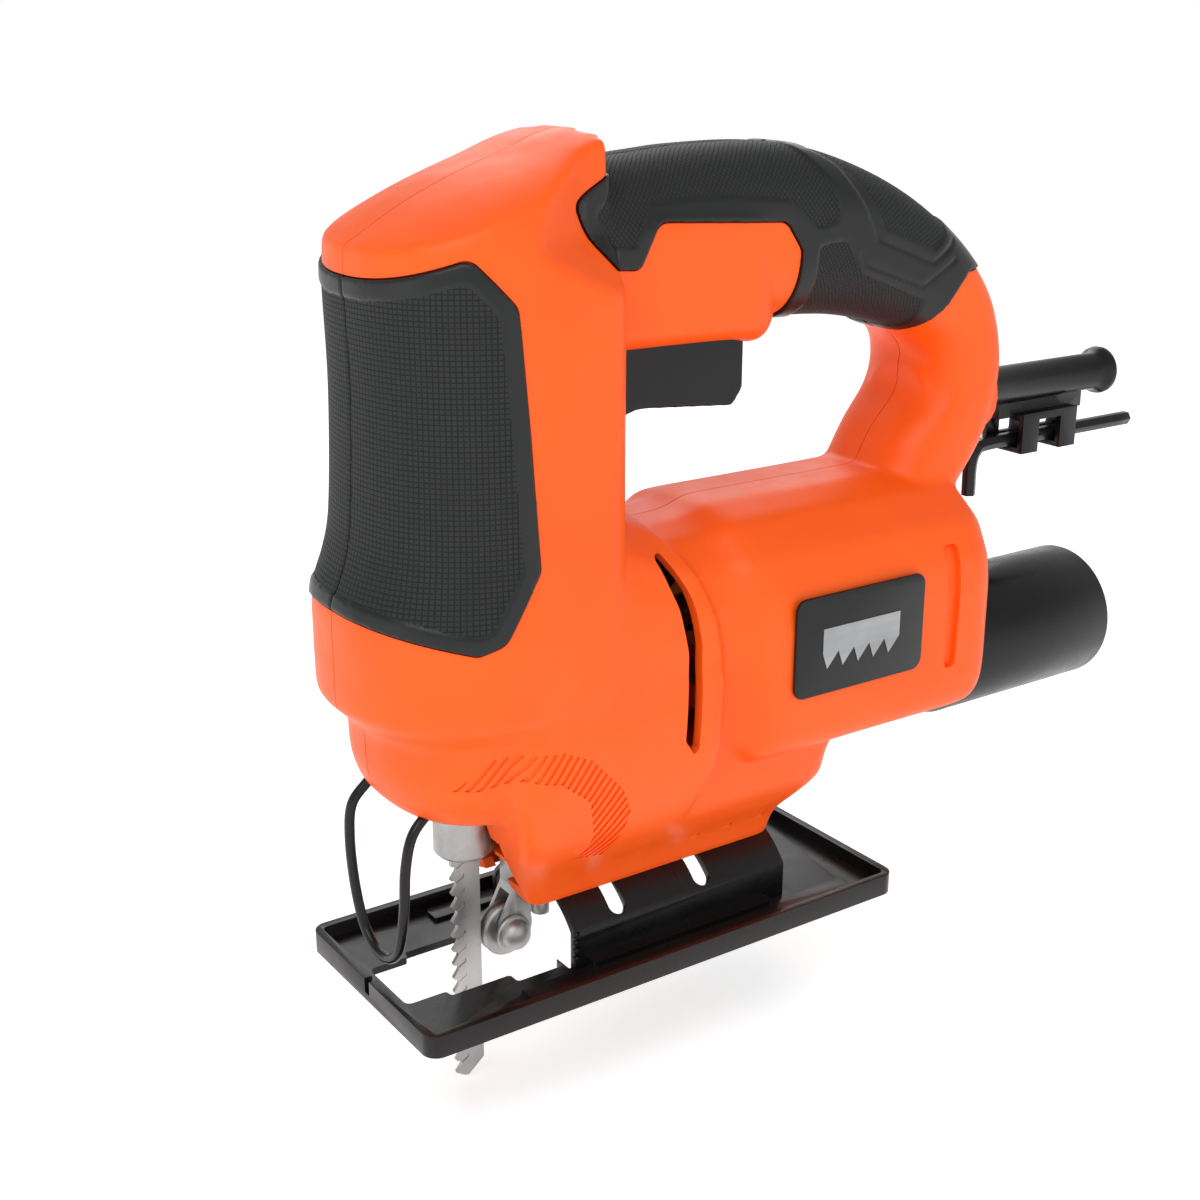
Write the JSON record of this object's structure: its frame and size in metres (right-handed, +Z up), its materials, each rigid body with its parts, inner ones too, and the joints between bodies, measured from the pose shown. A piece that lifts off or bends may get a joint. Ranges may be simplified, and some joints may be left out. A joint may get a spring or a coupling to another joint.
{
  "type": "jigsaw",
  "caption": "Corded jigsaw with a D-shaped handle, finger trigger, reciprocating blade, bevelling shoe with roller support, wire guard and rear dust outlet.",
  "frame": {"origin": "where the blade's axis crosses the sole plane", "axes": "+X points back along the motor, away from the cut, +Y to the tool's right, +Z up from the work through the handle"},
  "size_m": [0.2711, 0.0746, 0.238],
  "materials": {
    "shell": "satin moulded plastic with a fine texture",
    "grip": "soft overmould with a fine square pattern",
    "badge": "dark plate with a plain sawtooth mark",
    "black_plastic": "satin black plastic",
    "black_steel": "black painted steel",
    "steel": "bright steel",
    "copper": "lacquered copper",
    "bronze": "sintered bronze and brass",
    "carbon": "pressed carbon",
    "aluminium": "cast"
  },
  "bodies": {
    "housing": {"housing_left": "shell", "housing_right": "shell", "front_grip_left": "grip", "front_grip_right": "grip", "handle_grip_left": "grip", "handle_grip_right": "grip", "screw_nose": "steel", "screw_chin": "steel", "screw_handle": "steel", "screw_post": "steel", "screw_barrel_rear": "steel", "screw_foot": "steel", "badge_left": "badge", "badge_right": "badge", "switch_module": "black_plastic", "crank_axle": "steel", "gear_plate": "aluminium", "front_bearing": "steel", "rear_bearing": "steel", "field_stack": "steel", "field_coil_left": "copper", "field_coil_right": "copper", "brush_left": "carbon", "brush_right": "carbon", "brush_holder_left": "bronze", "brush_holder_right": "bronze", "plunger_bush_lower": "bronze", "plunger_bush_upper": "bronze", "roller_bolt": "steel", "roller_bracket": "steel", "wire_guard": "black_steel", "saddle_clamp": "steel", "saddle_screw_1": "steel", "saddle_screw_2": "steel", "cord_sleeve": "black_plastic"},
    "crank": {"crank_gear": "steel", "crank_pin": "steel"},
    "armature": {"armature_shaft": "steel", "armature_core": "steel", "winding_front": "copper", "winding_rear": "copper", "commutator": "copper", "fan": "black_plastic", "pinion": "steel"},
    "plunger": {"plunger": "steel", "blade_clamp": "steel", "clamp_screw": "steel", "blade": "steel"},
    "trigger": {"trigger": "black_plastic", "trigger_spring": "steel"},
    "shoe": {"shoe": "black_steel"},
    "support_roller": {"support_roller": "steel"},
    "dust_adaptor": {"dust_adaptor": "black_plastic"},
    "hex_key": {"hex_key": "black_steel"}
  },
  "joints": [
    {"name": "crank_turn", "type": "hinge", "parent": "housing", "child": "crank", "pos_m": [0.021, 0, 0.104], "axis": [1, 0, 0], "range_deg": [-90, 90]},
    {"name": "armature_spin", "type": "hinge", "parent": "housing", "child": "armature", "pos_m": [0.09, 0, 0.084], "axis": [1, 0, 0], "range_deg": [-540, 540]},
    {"name": "plunger_slide", "type": "slide", "parent": "housing", "child": "plunger", "axis": [0, 0, 1], "range_m": [-0.008, 0.008]},
    {"name": "trigger_slide", "type": "slide", "parent": "housing", "child": "trigger", "axis": [0, 0, 1], "range_m": [0, 0.006], "stiffness_N_per_m": 600, "springref_m": -0.003},
    {"name": "shoe_tilt", "type": "hinge", "parent": "housing", "child": "shoe", "pos_m": [0.05, 0, -0.0015], "axis": [1, 0, 0], "range_deg": [-45, 45]},
    {"name": "roller_spin", "type": "hinge", "parent": "housing", "child": "support_roller", "pos_m": [0.0116, 0, 0.0082], "axis": [0, 1, 0], "continuous": true},
    {"name": "dust_pull", "type": "slide", "parent": "housing", "child": "dust_adaptor", "axis": [1, 0, 0], "range_m": [0, 0.03]},
    {"name": "key_swivel", "type": "hinge", "parent": "housing", "child": "hex_key", "pos_m": [0.2, 0, 0.1134], "axis": [1, 0, 0], "range_deg": [-90, 90]}
  ],
  "couplings": [
    {"joint": "crank_turn", "follows": "plunger_slide", "rad_per_m": 196.35},
    {"joint": "armature_spin", "follows": "plunger_slide", "rad_per_m": -1178.1}
  ]
}
